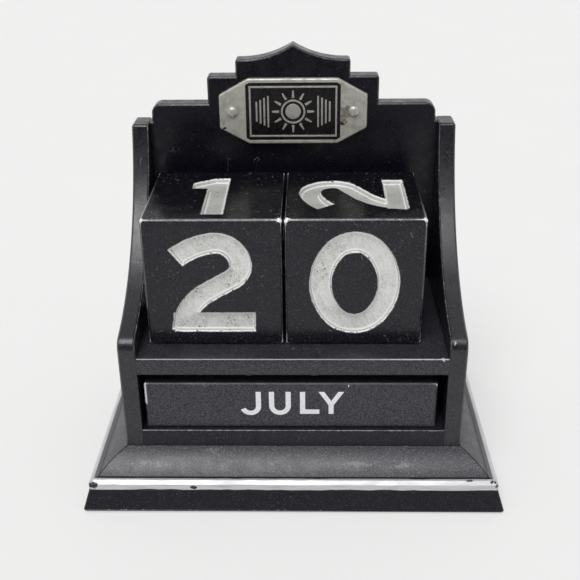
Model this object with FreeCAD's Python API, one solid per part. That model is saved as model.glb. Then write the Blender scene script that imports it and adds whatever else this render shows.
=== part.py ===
import FreeCAD, Part
import math
import os

from FreeCAD import Rotation, Vector

# Perpetual desk calendar: a painted stand with two date cubes on its tray and three month bars in its slot.
# Millimetres. The origin is at the middle of the foot, +Z up, and the front faces -Y.

# Date cubes and the room round them on the tray
cube_side = 44.7
cube_edge_bevel = 0.75
cube_gap = 0.7
left_cube_clearance = 3.05
right_cube_clearance = 8.25
tray_front_margin = 9.7
tray_rear_clearance = 6.7

# Numerals sunk into the cubes
numeral_height = 35.4
numeral_stroke = 7.0
pocket_depth = 1.5
pocket_wall_run = 0.6

# Month bars and the room round them in the slot
bar_section = 17.35
bar_edge_bevel = 0.5
bar_end_clearance = 2.2
bar_recess = 1.8
bar_gap = 0.3
bar_headroom = 4.15
bar_side_shift = -0.7

# Boards of the stand
cheek_thickness = 5.8
floor_thickness = 6.3
shelf_thickness = 6.1
panel_thickness = 6.7
board_edge_bevel = 0.6
shelf_edge_radius = 0.8
slot_edge_radius = 0.5

# Swept cheeks, measured from the tray and the front face
cheek_rise = 61.1
cheek_top_length = 10.6
cheek_shoulder_rise = 6.35
cheek_shoulder_radius = 4.5
cheek_sweep_radius = 70.4
cheek_corner_radius = 1.2

# Stepped crest of the back panel, measured from the tray and the middle; its sides are inset from the cheeks
crest_side_rise = 67.3
crest_step_rise = 9.55
crest_shoulder_rise = 5.75
crest_peak_rise = 5.0
crest_side_inset = 0.9
crest_step_half_width = 29.8
crest_shoulder_half_width = 19.8
crest_sweep_radius = 34.0
crest_side_corner_radius = 3.4
crest_corner_radius = 1.0

# Base boards; overhangs are measured from the outer faces of the box
plinth_height = 7.35
plinth_foot_overhang = 13.8
plinth_edge_bevel = 0.6
bead_height = 3.35
bead_overhang = 11.5
bead_bevel = 1.15
bead_corner_bevel = 0.5
moulded_height = 6.45
moulded_overhang = 8.7
moulding_radius = 23.0
felt_thickness = 0.4
felt_inset = 4.0

# Screws through the base boards
screw_head_diameter = 7.0
screw_head_height = 2.4
screw_diameter = 3.5
screw_clearance = 0.2
screw_bite = 4.2
screw_inset = 12.0

# Metal plate on the crest; its drop is from the crest's side top
plate_width = 51.5
plate_end_height = 11.6
plate_height = 23.0
plate_shoulder_width = 31.0
plate_drop = 2.4
plate_thickness = 1.9
plate_corner_radius = 1.0
plate_bevel = 0.35
ear_length = 9.25
field_rim = 1.3
field_depth = 0.8
enamel_depth = 0.3
rivet_inset = 4.65
rivet_head_diameter = 3.9
rivet_head_height = 1.2
rivet_shank_diameter = 2.0
rivet_shank_length = 6.0

# One overrun serves every cut, and one tolerance finds edges by where they lie
cut_overrun = 0.5
match_tolerance = 0.001

# Worked out from the sizes above
inner_width = left_cube_clearance + 2 * cube_side + cube_gap + right_cube_clearance
inner_x = inner_width / 2
outer_x = inner_x + cheek_thickness
crest_side_x = inner_x - crest_side_inset
tray_depth = tray_front_margin + cube_side + tray_rear_clearance
box_depth = tray_depth + panel_thickness
front_y = -box_depth / 2
rear_y = box_depth / 2
panel_y = front_y + tray_depth
plinth_z = felt_thickness
bead_z = plinth_z + plinth_height
moulded_z = bead_z + bead_height
box_z = moulded_z + moulded_height
slot_z = box_z + floor_thickness
shelf_z = slot_z + bar_section + bar_headroom
tray_z = shelf_z + shelf_thickness
cheek_z = tray_z + cheek_rise
bar_length = inner_width - 2 * bar_end_clearance
plate_z = tray_z + crest_side_rise - plate_drop
rivet_x = plate_width / 2 - rivet_inset
field_width = plate_width - 2 * ear_length
field_floor = plate_thickness - field_depth
enamel_top = plate_thickness - enamel_depth

# Numerals. A ring is the middle of a closed oval stroke: centre x and y, half width and half height.
# A path is the middle of an open stroke: start x and y, heading in degrees, then stretches of length and turn.
# An outline is the corners of a straight-sided shape, and a counter is the island left inside one.
# Every length here is a share of numeral_height.
numeral_shares = {
    0: {"rings": [(0.0, 0.0, 0.31, 0.409)]},
    1: {"outlines": [[(-0.094, -0.51), (0.102, -0.51), (0.102, 0.43), (-0.045, 0.43),
                      (-0.242, 0.305), (-0.242, 0.153), (-0.094, 0.153)]]},
    2: {"paths": [(-0.331, 0.259, 38, [(0.359, -29), (0.368, -94), (0.181, -65), (0.262, 0), (0.487, 55)]),
                  (-0.381, -0.393, 0, [(0.755, 0)])]},
    3: {"paths": [(-0.27, 0.292, 47, [(0.215, -36), (0.665, -191), (0.1, 0)]),
                  (-0.129, 0.026, 0, [(0.1, 0), (0.785, -190), (0.27, -40)])]},
    4: {"outlines": [[(0.04, -0.5), (0.235, -0.5), (0.235, -0.285), (0.37, -0.285), (0.37, -0.095),
                      (0.235, -0.095), (0.235, 0.5), (0.04, 0.5), (-0.39, -0.12), (-0.39, -0.285),
                      (0.04, -0.285)]],
        "counters": [[(0.04, -0.095), (0.04, 0.205), (-0.165, -0.095)]]},
    5: {"paths": [(-0.255, 0.402, 0, [(0.555, 0)]),
                  (-0.157, 0.5, -94, [(0.5, 0)]),
                  (-0.17, 0.082, 14, [(0.19, -20), (0.9, -213), (0.15, -10)])]},
    6: {"rings": [(0.0, -0.168, 0.262, 0.24)],
        "paths": [(-0.262, -0.18, 90, [(0.14, -6), (0.36, -52), (0.28, -22)])]},
    7: {"outlines": [[(-0.235, -0.5), (-0.02, -0.5), (0.36, 0.34), (0.36, 0.5), (-0.36, 0.5),
                      (-0.36, 0.305), (0.135, 0.305)]]},
    8: {"rings": [(0.0, 0.212, 0.212, 0.195), (0.0, -0.183, 0.262, 0.224)]},
}
# Where the side arcs of an oval stroke meet its end arcs, in degrees from level
oval_joint_angle = 40

# Faces of each cube: numeral, outward direction and the direction of the numeral's top
left_cube_faces = [
    (2, Vector(0, -1, 0), Vector(0, 0, 1)),
    (1, Vector(0, 0, 1), Vector(0, 1, 0)),
    (3, Vector(1, 0, 0), Vector(0, 0, 1)),
    (4, Vector(0, 1, 0), Vector(0, 0, 1)),
    (5, Vector(-1, 0, 0), Vector(0, 0, 1)),
    (0, Vector(0, 0, -1), Vector(0, -1, 0)),
]
right_cube_faces = [
    (0, Vector(0, -1, 0), Vector(0, 0, 1)),
    (2, Vector(0, 0, 1), Vector(-1, 0, 0)),
    (6, Vector(1, 0, 0), Vector(0, 0, 1)),
    (7, Vector(0, 1, 0), Vector(0, 0, 1)),
    (8, Vector(-1, 0, 0), Vector(0, 0, 1)),
    (1, Vector(0, 0, -1), Vector(0, -1, 0)),
]


def box(x_range, y_range, z_range):
    """A block between two values on each axis."""
    corner = Vector(x_range[0], y_range[0], z_range[0])
    size = Vector(x_range[1], y_range[1], z_range[1]) - corner
    return Part.makeBox(size.x, size.y, size.z, corner)


def arc(start, end, radius, normal):
    """An arc of a given radius between two points, bulging to the left as seen against the normal."""
    half = (end - start) / 2
    sagitta = radius - math.sqrt(radius ** 2 - half.Length ** 2)
    side = normal.cross(half).normalize()
    return Part.Arc(start, start + half + side * sagitta, end).toShape()


def chain(points):
    """Straight edges from point to point."""
    return [Part.LineSegment(a, b).toShape() for a, b in zip(points, points[1:])]


def prism(edges, direction):
    """The solid swept from a closed flat outline."""
    return Part.Face(Part.Wire(edges)).extrude(direction)


def edges_where(shape, test):
    """The edges of a shape whose two ends both pass a test."""
    return [e for e in shape.Edges if all(test(v.Point) for v in e.Vertexes)]


def near(a, b):
    """Whether two values are the same size."""
    return math.isclose(a, b, abs_tol=match_tolerance)


def revolved(points, place, axis):
    """A turned solid: a half profile of (radius, height) points, set on a place and along an axis."""
    profile = [Vector(radius, 0, height) for radius, height in points]
    face = Part.Face(Part.Wire(chain(profile + profile[:1])))
    solid = face.revolve(Vector(0, 0, 0), Vector(0, 0, 1), 360)
    solid.Placement = FreeCAD.Placement(place, Rotation(Vector(0, 0, 1), axis))
    return solid


# Base boards

def screw_places():
    """The foot of each of the two screws."""
    x = inner_x - screw_inset
    return [Vector(-x, 0, plinth_z), Vector(x, 0, plinth_z)]


def screw_holes(clearance):
    """Holes for the two screws, with countersinks in the underside."""
    radius = screw_diameter / 2 + clearance
    holes = []
    for place in screw_places():
        holes.append(Part.makeCylinder(radius, box_z - plinth_z, place))
        holes.append(Part.makeCone(screw_head_diameter / 2, screw_diameter / 2, screw_head_height, place))
    return holes


def make_base_screws():
    """Two countersunk screws, up through the base boards into the box floor."""
    head = screw_head_diameter / 2
    shank = screw_diameter / 2
    length = box_z - plinth_z + screw_bite
    profile = [(0, 0), (head, 0), (shank, screw_head_height), (shank, length), (0, length)]
    return Part.makeCompound([revolved(profile, place, Vector(0, 0, 1)) for place in screw_places()])


def make_felt_pad():
    """The felt under the plinth."""
    x = outer_x + plinth_foot_overhang - felt_inset
    y = box_depth / 2 + plinth_foot_overhang - felt_inset
    return box((-x, x), (-y, y), (0, felt_thickness))


def base_outline(overhang, clip, z):
    """The outline of the box grown by an overhang, with its corners clipped."""
    x = outer_x + overhang
    y = box_depth / 2 + overhang
    quarter = [(x, y - clip), (x - clip, y)]
    half = quarter + [(-across, along) for across, along in reversed(quarter)]
    corners = [Vector(i, j, z) for i, j in half] + [Vector(-i, -j, z) for i, j in half]
    return Part.makePolygon(corners + corners[:1])


def make_plinth_board():
    """The lowest board, splayed from the bead down to the foot."""
    foot = base_outline(plinth_foot_overhang, plinth_edge_bevel, plinth_z)
    top = base_outline(bead_overhang, plinth_edge_bevel, bead_z)
    board = Part.makeLoft([foot, top], True, True)
    board = board.makeChamfer(plinth_edge_bevel, edges_where(board, lambda p: near(p.z, plinth_z)))
    return board.cut(screw_holes(screw_clearance))


def make_bead_board():
    """The thin board whose bevelled edge is the bright line round the base."""
    levels = [(0, bead_z), (0, moulded_z - bead_bevel), (bead_bevel, moulded_z)]
    outlines = [base_outline(bead_overhang - inset, bead_corner_bevel, z) for inset, z in levels]
    return Part.makeLoft(outlines, True, True).cut(screw_holes(screw_clearance))


def moulding_bar(half_width, half_length, across, along):
    """A length of the moulding's full section, with both edges swept."""
    up = Vector(0, 0, 1)
    start = along * -half_length
    inner = across * half_width
    outer = across * (half_width + moulded_overhang)
    low = up * moulded_z
    high = up * box_z
    right = arc(start + inner + high, start + outer + low, moulding_radius, along)
    left = arc(start - outer + low, start - inner + high, moulding_radius, along)
    edges = [right, Part.LineSegment(start + outer + low, start - outer + low).toShape(),
             left, Part.LineSegment(start - inner + high, start + inner + high).toShape()]
    return prism(edges, along * 2 * half_length)


def make_moulded_board():
    """The mitred board: the common body of two mouldings that cross."""
    half_depth = box_depth / 2
    side_to_side = moulding_bar(outer_x, half_depth + moulded_overhang, Vector(1, 0, 0), Vector(0, -1, 0))
    front_to_rear = moulding_bar(half_depth, outer_x + moulded_overhang, Vector(0, 1, 0), Vector(1, 0, 0))
    return side_to_side.common(front_to_rear).cut(screw_holes(screw_clearance))


# Box and tray

def make_box_floor():
    """The board under the month slot."""
    board = box((-inner_x, inner_x), (front_y, panel_y), (box_z, slot_z))
    lip = edges_where(board, lambda p: near(p.y, front_y) and near(p.z, slot_z))
    board = board.makeFillet(slot_edge_radius, lip)
    pilots = [Part.makeCylinder(screw_diameter / 2, box_z + screw_bite - place.z, place)
              for place in screw_places()]
    return board.cut(pilots)


def make_tray_shelf():
    """The board that carries the cubes and roofs the month slot."""
    board = box((-inner_x, inner_x), (front_y, panel_y), (shelf_z, tray_z))
    upper = edges_where(board, lambda p: near(p.y, front_y) and near(p.z, tray_z))
    lower = edges_where(board, lambda p: near(p.y, front_y) and near(p.z, shelf_z))
    return board.makeFillet(shelf_edge_radius, upper).makeFillet(slot_edge_radius, lower)


def cheek_blank():
    """A cheek board, from the inner face at +X outwards, before its edges are softened."""
    def at(y, z):
        return Vector(inner_x, y, z)

    foot = at(front_y, box_z)
    shoulder = at(front_y, tray_z + cheek_shoulder_rise)
    tip = at(rear_y - cheek_top_length, cheek_z)
    corners = [tip, at(rear_y, tip.z), at(rear_y, box_z), foot, shoulder]
    sweep = arc(shoulder, tip, cheek_sweep_radius, Vector(-1, 0, 0))
    return prism(chain(corners) + [sweep], Vector(cheek_thickness, 0, 0))


def make_cheek(side):
    """A swept side board; side is -1 for the left one and 1 for the right one."""
    cheek = cheek_blank()
    tip_y = rear_y - cheek_top_length
    shoulder = edges_where(cheek, lambda p: near(p.y, front_y) and p.z > tray_z)
    cheek = cheek.makeFillet(cheek_shoulder_radius, shoulder)
    corners = edges_where(cheek, lambda p: near(p.z, cheek_z) and near(p.y, tip_y))
    corners += edges_where(cheek, lambda p: near(p.z, cheek_z) and near(p.y, rear_y))
    cheek = cheek.makeFillet(cheek_corner_radius, corners)
    outline = [e for e in edges_where(cheek, lambda p: near(p.x, inner_x) or near(p.x, outer_x))
               if near(e.Vertexes[0].X, e.Vertexes[-1].X)
               and not all(near(v.Z, box_z) for v in e.Vertexes)]
    cheek = cheek.makeChamfer(board_edge_bevel, outline)
    square_edge = box((inner_x, inner_x + board_edge_bevel), (front_y, front_y + board_edge_bevel),
                      (box_z, tray_z))
    cheek = cheek.fuse(square_edge).removeSplitter()
    if side < 0:
        cheek = cheek.mirror(Vector(0, 0, 0), Vector(1, 0, 0))
    return cheek


def crest_outline():
    """The edges of the back panel's outline, at its front face."""
    side_z = tray_z + crest_side_rise
    step_z = side_z + crest_step_rise
    shoulder_z = step_z + crest_shoulder_rise
    peak = Vector(0, panel_y, shoulder_z + crest_peak_rise)
    half = [(crest_shoulder_half_width, shoulder_z), (crest_shoulder_half_width, step_z),
            (crest_step_half_width, step_z), (crest_step_half_width, side_z),
            (crest_side_x, side_z), (crest_side_x, cheek_z),
            (inner_x, cheek_z), (inner_x, box_z)]
    right = [Vector(x, panel_y, z) for x, z in half]
    left = [Vector(-x, panel_y, z) for x, z in reversed(half)]
    normal = Vector(0, 1, 0)
    rise = arc(left[-1], peak, crest_sweep_radius, normal)
    fall = arc(peak, right[0], crest_sweep_radius, normal)
    return chain(right + left) + [rise, fall]


def make_back_panel():
    """The board between the cheeks, with its stepped crest and the two rivet holes."""
    panel = prism(crest_outline(), Vector(0, panel_thickness, 0))
    side_z = tray_z + crest_side_rise
    step_z = side_z + crest_step_rise
    sides = edges_where(panel, lambda p: near(p.z, side_z) and near(abs(p.x), crest_side_x))
    panel = panel.makeFillet(crest_side_corner_radius, sides)
    steps = edges_where(panel, lambda p: near(p.z, step_z) and near(abs(p.x), crest_step_half_width))
    shoulders = edges_where(panel, lambda p: near(p.z, step_z + crest_shoulder_rise))
    panel = panel.makeFillet(crest_corner_radius, steps + shoulders)
    outline = [e for e in edges_where(panel, lambda p: p.z > tray_z or not near(p.z, box_z))
               if near(e.Vertexes[0].Y, e.Vertexes[-1].Y)]
    panel = panel.makeChamfer(board_edge_bevel, outline)
    holes = [Part.makeCylinder(rivet_shank_diameter / 2, rivet_shank_length, place, Vector(0, 1, 0))
             for place in rivet_places(panel_y)]
    return panel.cut(holes)


# Plate on the crest, drawn flat with +Z towards the viewer and then hung on the panel

def rivet_places(y):
    """The two rivet centres at a given depth."""
    return [Vector(-rivet_x, y, plate_z), Vector(rivet_x, y, plate_z)]


def hung(shape):
    """A shape drawn flat, stood up against the front of the panel."""
    shape = shape.copy()
    turn = Rotation(Vector(1, 0, 0), Vector(0, 0, 1), Vector(0, -1, 0), "XYZ")
    shape.Placement = FreeCAD.Placement(Vector(0, panel_y, plate_z), turn)
    return shape


def flat_polygon(points, z):
    """A closed outline at one height."""
    corners = [Vector(x, y, z) for x, y in points]
    return Part.Face(Part.makePolygon(corners + corners[:1]))


def plate_corners(inset):
    """The corners of the long eight-sided plate, moved in by an inset from its sloped and level sides."""
    run = (plate_width - plate_shoulder_width) / 2
    fall = (plate_height - plate_end_height) / 2
    slope = math.hypot(run, fall)
    x_end = plate_width / 2
    x_shoulder = plate_shoulder_width / 2 - inset * (slope - run) / fall
    y_end = plate_end_height / 2 - inset * slope / run
    y_shoulder = plate_height / 2 - inset
    quarter = [(x_end, y_end), (x_shoulder, y_shoulder)]
    right = [(x_end, -y_end)] + quarter
    top = [(-x, y) for x, y in reversed(quarter)]
    left = [(-x_end, -y_end), (-x_shoulder, -y_shoulder), (x_shoulder, -y_shoulder)]
    return right + top + left


def field_block(low, high):
    """The sunk field's plan between two heights."""
    plan = flat_polygon(plate_corners(field_rim), low).extrude(Vector(0, 0, high - low))
    x = field_width / 2
    y = plate_height
    return plan.common(box((-x, x), (-y, y), (low, high)))


def make_badge_plate():
    """The cast plate: bevelled rim, plain ends with a hole each, and a sunk field between them."""
    plate = flat_polygon(plate_corners(0), 0).extrude(Vector(0, 0, plate_thickness))
    upright = [e for e in plate.Edges if not near(e.Vertexes[0].Z, e.Vertexes[1].Z)]
    plate = plate.makeFillet(plate_corner_radius, upright)
    plate = plate.makeChamfer(plate_bevel, edges_where(plate, lambda p: near(p.z, plate_thickness)))
    holes = [Part.makeCylinder(rivet_shank_diameter / 2, plate_thickness, Vector(x, 0, 0))
             for x in (-rivet_x, rivet_x)]
    return hung(plate.cut([field_block(field_floor, plate_thickness)] + holes))


def make_badge_enamel():
    """The enamel that lies in the sunk field."""
    return hung(field_block(field_floor, enamel_top))


def make_rivet(side):
    """A rivet through the plate and into the panel; side is -1 for the left one and 1 for the right one."""
    face = Vector(side * rivet_x, panel_y - plate_thickness, plate_z)
    inward = Vector(0, 1, 0)
    head = Part.makeCylinder(rivet_head_diameter / 2, rivet_head_height, face - inward * rivet_head_height, inward)
    shank = Part.makeCylinder(rivet_shank_diameter / 2, plate_thickness + rivet_shank_length, face, inward)
    return head.fuse(shank).removeSplitter()


# Numerals, drawn flat in the XY plane with +Z out of the cube

def advance(place, length, turn):
    """Where a stretch that turns evenly ends: a point and a heading in degrees."""
    point, heading = place
    half = math.radians(turn) / 2
    chord = length * math.sin(half) / half if turn else length
    way = math.radians(heading) + half
    return point + Vector(chord * math.cos(way), chord * math.sin(way), 0), heading + turn


def beside(place, distance):
    """The point at a distance to the left of a place on a stroke."""
    point, heading = place
    way = math.radians(heading)
    return point + Vector(-math.sin(way), math.cos(way), 0) * distance


def flank(places, turn):
    """One side of a stretch: a line, or an arc through its middle."""
    start, middle, end = places
    if turn:
        return Part.Arc(start, middle, end).toShape()
    return Part.LineSegment(start, end).toShape()


def trimmed(place, stretches, trim):
    """A stroke's start and stretches with both ends drawn in by a trim."""
    (first_length, first_turn), *rest = stretches
    share = trim / first_length
    place = advance(place, trim, first_turn * share)
    stretches = [(first_length - trim, first_turn * (1 - share))] + rest
    *rest, (last_length, last_turn) = stretches
    share = trim / last_length
    return place, rest + [(last_length - trim, last_turn * (1 - share))]


def path_wire(path, half_width, trim, z):
    """The outline of an open stroke at one height."""
    x_share, y_share, heading, stretch_shares = path
    start = Vector(x_share * numeral_height, y_share * numeral_height, z)
    stretches = [(share * numeral_height, turn) for share, turn in stretch_shares]
    place, stretches = trimmed((start, heading), stretches, trim)
    left, right = [], []
    for length, turn in stretches:
        places = [place, advance(place, length / 2, turn / 2), advance(place, length, turn)]
        left.append(flank([beside(p, half_width) for p in places], turn))
        right.insert(0, flank([beside(p, -half_width) for p in reversed(places)], turn))
        place = places[-1]
    ends = [left[0].Vertexes[0].Point, left[-1].Vertexes[-1].Point,
            right[0].Vertexes[0].Point, right[-1].Vertexes[-1].Point]
    first_cap = Part.LineSegment(ends[1], ends[2]).toShape()
    last_cap = Part.LineSegment(ends[3], ends[0]).toShape()
    return Part.Wire(left + [first_cap] + right + [last_cap])


def oval_wire(ring, growth, z):
    """An oval of four arcs, moved outwards from the middle of its stroke by a growth."""
    x_share, y_share, width_share, height_share = ring
    half_width = width_share * numeral_height
    half_height = height_share * numeral_height
    joint = math.radians(oval_joint_angle)
    shift = (half_height - half_width) / (1 + math.tan(joint) - 1 / math.cos(joint))
    side_radius = half_width + shift
    end_radius = side_radius - shift / math.cos(joint)
    side_radius += growth
    end_radius += growth
    end_centre = shift * math.tan(joint)
    middle = Vector(x_share * numeral_height, y_share * numeral_height, z)
    joint_x = side_radius * math.cos(joint) - shift
    joint_y = side_radius * math.sin(joint)
    joints = [Vector(i * joint_x, j * joint_y, 0) for i, j in ((1, -1), (1, 1), (-1, 1), (-1, -1))]
    tips = [Vector(side_radius - shift, 0, 0), Vector(0, end_centre + end_radius, 0),
            Vector(shift - side_radius, 0, 0), Vector(0, -end_centre - end_radius, 0)]
    edges = [Part.Arc(middle + joints[k], middle + tips[k], middle + joints[(k + 1) % len(joints)]).toShape()
             for k in range(len(joints))]
    return Part.Wire(edges)


def outline_wire(corner_shares, inset, z):
    """A straight-sided outline at one height, every side moved in by an inset."""
    points = [Vector(x * numeral_height, y * numeral_height, z) for x, y in corner_shares]
    moved = []
    for before, point, after in zip(points[-1:] + points[:-1], points, points[1:] + points[:1]):
        into = (point - before).normalize()
        out = (after - point).normalize()
        normals = Vector(-into.y, into.x, 0), Vector(-out.y, out.x, 0)
        mitre = normals[0] + normals[1]
        moved.append(point + mitre * (inset / (1 + normals[0].dot(normals[1]))))
    return Part.makePolygon(moved + moved[:1])


def numeral_cutter(numeral):
    """The body that sinks one numeral: wider above the face, narrower at the pocket's floor."""
    slope = pocket_wall_run / pocket_depth
    levels = [(cut_overrun, -cut_overrun * slope), (-pocket_depth, pocket_wall_run)]
    half_stroke = numeral_stroke / 2
    shapes = numeral_shares[numeral]
    bodies = []
    for path in shapes.get("paths", []):
        wires = [path_wire(path, half_stroke - inset, inset, z) for z, inset in levels]
        bodies.append(Part.makeLoft(wires, True, True))
    for ring in shapes.get("rings", []):
        outer = Part.makeLoft([oval_wire(ring, half_stroke - inset, z) for z, inset in levels], True, True)
        inner = Part.makeLoft([oval_wire(ring, inset - half_stroke, z) for z, inset in levels], True, True)
        bodies.append(outer.cut(inner))
    for corners in shapes.get("outlines", []):
        body = Part.makeLoft([outline_wire(corners, inset, z) for z, inset in levels], True, True)
        for counter in shapes.get("counters", []):
            island = [outline_wire(counter, -inset, z) for z, inset in levels]
            body = body.cut(Part.makeLoft(island, True, True))
        bodies.append(body)
    return bodies[0].fuse(bodies[1:]).removeSplitter() if len(bodies) > 1 else bodies[0]


def make_cube(left_x, faces):
    """A date cube with broken edges and a numeral sunk into each face."""
    front = front_y + tray_front_margin
    cube = box((left_x, left_x + cube_side), (front, front + cube_side), (tray_z, tray_z + cube_side))
    cube = cube.makeChamfer(cube_edge_bevel, cube.Edges)
    half = cube_side / 2
    centre = Vector(left_x + half, front + half, tray_z + half)
    for numeral, outward, upward in faces:
        cutter = numeral_cutter(numeral)
        turn = Rotation(upward.cross(outward), upward, outward, "ZYX")
        cutter.Placement = FreeCAD.Placement(centre + outward * half, turn)
        cube = cube.cut(cutter)
    return cube


def make_bar(row):
    """A month bar; row counts from the front of the slot."""
    front = front_y + bar_recess + row * (bar_section + bar_gap)
    half = bar_length / 2
    bar = box((bar_side_shift - half, bar_side_shift + half), (front, front + bar_section),
              (slot_z, slot_z + bar_section))
    return bar.makeChamfer(bar_edge_bevel, bar.Edges)


left_cube_x = -inner_x + left_cube_clearance
right_cube_x = left_cube_x + cube_side + cube_gap

parts = {
    "felt_pad": make_felt_pad(),
    "plinth_board": make_plinth_board(),
    "bead_board": make_bead_board(),
    "moulded_board": make_moulded_board(),
    "base_screws": make_base_screws(),
    "box_floor": make_box_floor(),
    "tray_shelf": make_tray_shelf(),
    "cheek_left": make_cheek(-1),
    "cheek_right": make_cheek(1),
    "back_panel": make_back_panel(),
    "badge_plate": make_badge_plate(),
    "badge_enamel": make_badge_enamel(),
    "badge_rivet_left": make_rivet(-1),
    "badge_rivet_right": make_rivet(1),
    "date_cube_left": make_cube(left_cube_x, left_cube_faces),
    "date_cube_right": make_cube(right_cube_x, right_cube_faces),
    "month_bar_front": make_bar(0),
    "month_bar_middle": make_bar(1),
    "month_bar_rear": make_bar(2),
}

os.makedirs("parts", exist_ok=True)
for name, shape in parts.items():
    shape.exportStep(f"parts/{name}.step")
    print(name, "valid" if shape.isValid() else "NOT VALID", len(shape.Solids), round(shape.Volume, 1))
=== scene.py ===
# Dresses the perpetual desk calendar: a painted stand, two date cubes, three month bars and a metal plate.
# Lengths in the fields below are in millimetres, in the frame's axes: +Z up, front towards -Y.

import logging
import math
import random
from dataclasses import dataclass
from enum import Enum
from functools import reduce
from typing import Callable, Sequence, Union

import bmesh
import bpy
from mathutils import Matrix, Vector


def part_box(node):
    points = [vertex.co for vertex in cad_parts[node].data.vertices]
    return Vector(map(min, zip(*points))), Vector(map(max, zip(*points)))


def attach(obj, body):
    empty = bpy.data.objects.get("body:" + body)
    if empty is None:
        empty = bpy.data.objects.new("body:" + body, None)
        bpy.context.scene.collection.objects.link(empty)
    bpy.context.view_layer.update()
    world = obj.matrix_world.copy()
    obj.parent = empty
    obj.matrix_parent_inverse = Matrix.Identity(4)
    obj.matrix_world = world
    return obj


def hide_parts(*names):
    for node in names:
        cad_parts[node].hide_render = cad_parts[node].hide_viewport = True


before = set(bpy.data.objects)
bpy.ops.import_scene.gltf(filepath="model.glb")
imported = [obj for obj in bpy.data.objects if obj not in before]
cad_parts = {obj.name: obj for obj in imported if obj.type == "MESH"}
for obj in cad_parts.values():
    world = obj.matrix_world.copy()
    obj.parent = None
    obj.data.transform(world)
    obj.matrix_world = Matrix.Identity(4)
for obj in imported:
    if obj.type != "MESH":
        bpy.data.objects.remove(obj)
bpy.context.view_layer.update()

log = logging.getLogger("calendar")

MM = 0.001
Socket = bpy.types.NodeSocket
Value = Union[Socket, float, Sequence[float]]
Point = tuple[float, float]
Place = tuple[float, float, float]
Colour = tuple[float, float, float]


class Axis(Enum):
    """The frame's axes."""

    X = 0
    Y = 1
    Z = 2


class Body(Enum):
    """The bodies that pieces ride on."""

    STAND = "stand"
    FRONT_BAR = "front_bar"
    MIDDLE_BAR = "middle_bar"
    REAR_BAR = "rear_bar"


class Side(Enum):
    """Left and right as seen from the front."""

    LEFT = -1
    RIGHT = 1


def node_box(node: str) -> tuple[Vector, Vector]:
    """The lowest and highest corner of a CAD node, in millimetres."""
    low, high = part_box(node)
    return low / MM, high / MM


class Nodes:
    """A node tree in the making, with one short call for each kind of node."""

    def __init__(self, tree: bpy.types.NodeTree) -> None:
        """Empties the tree."""
        self.tree = tree
        tree.nodes.clear()

    def add(self, kind: str, **settings: object) -> bpy.types.Node:
        """Adds a node.

        Args:
            kind: the node's type.
            settings: the node's own settings, by name.

        Returns:
            The new node.
        """
        node = self.tree.nodes.new(kind)
        for name, value in settings.items():
            setattr(node, name, value)
        return node

    def feed(self, socket: Socket, value: Value) -> None:
        """Gives a socket a link or a value of its own.

        Args:
            socket: the input to fill.
            value: another node's output, or a plain value.
        """
        if isinstance(value, bpy.types.NodeSocket):
            self.tree.links.new(value, socket)
        elif socket.type == "RGBA":
            socket.default_value = (*value, 1.0)[:4]
        else:
            socket.default_value = value

    def fed(self, node: bpy.types.Node, *values: Value) -> bpy.types.bpy_prop_collection:
        """Fills a node's first inputs.

        Args:
            node: the node.
            values: what each input gets, in order.

        Returns:
            The node's outputs.
        """
        for socket, value in zip(node.inputs, values):
            self.feed(socket, value)
        return node.outputs

    def math(self, operation: str, *values: Value) -> Socket:
        """One step of arithmetic on numbers."""
        return self.fed(self.add("ShaderNodeMath", operation=operation), *values)[0]

    def less(self, value: Value, part: Value) -> Socket:
        """What is left of a number when part of it is taken off."""
        return self.math("SUBTRACT", value, part)

    def all_of(self, *shares: Value) -> Socket:
        """The product of several masks."""
        return reduce(lambda product, share: self.math("MULTIPLY", product, share), shares)

    def any_of(self, *shares: Value) -> Socket:
        """The highest of several masks."""
        return reduce(lambda highest, share: self.math("MAXIMUM", highest, share), shares)

    def ramp(self, value: Value, low: Value, high: Value, start: Value = 0.0, end: Value = 1.0) -> Socket:
        """A smooth step from start to end while a value goes from low to high."""
        node = self.add("ShaderNodeMapRange", interpolation_type="SMOOTHSTEP")
        return self.fed(node, value, low, high, start, end)[0]

    def split(self, vector: Value) -> bpy.types.bpy_prop_collection:
        """A vector's x, y and z."""
        return self.fed(self.add("ShaderNodeSeparateXYZ"), vector)


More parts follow.
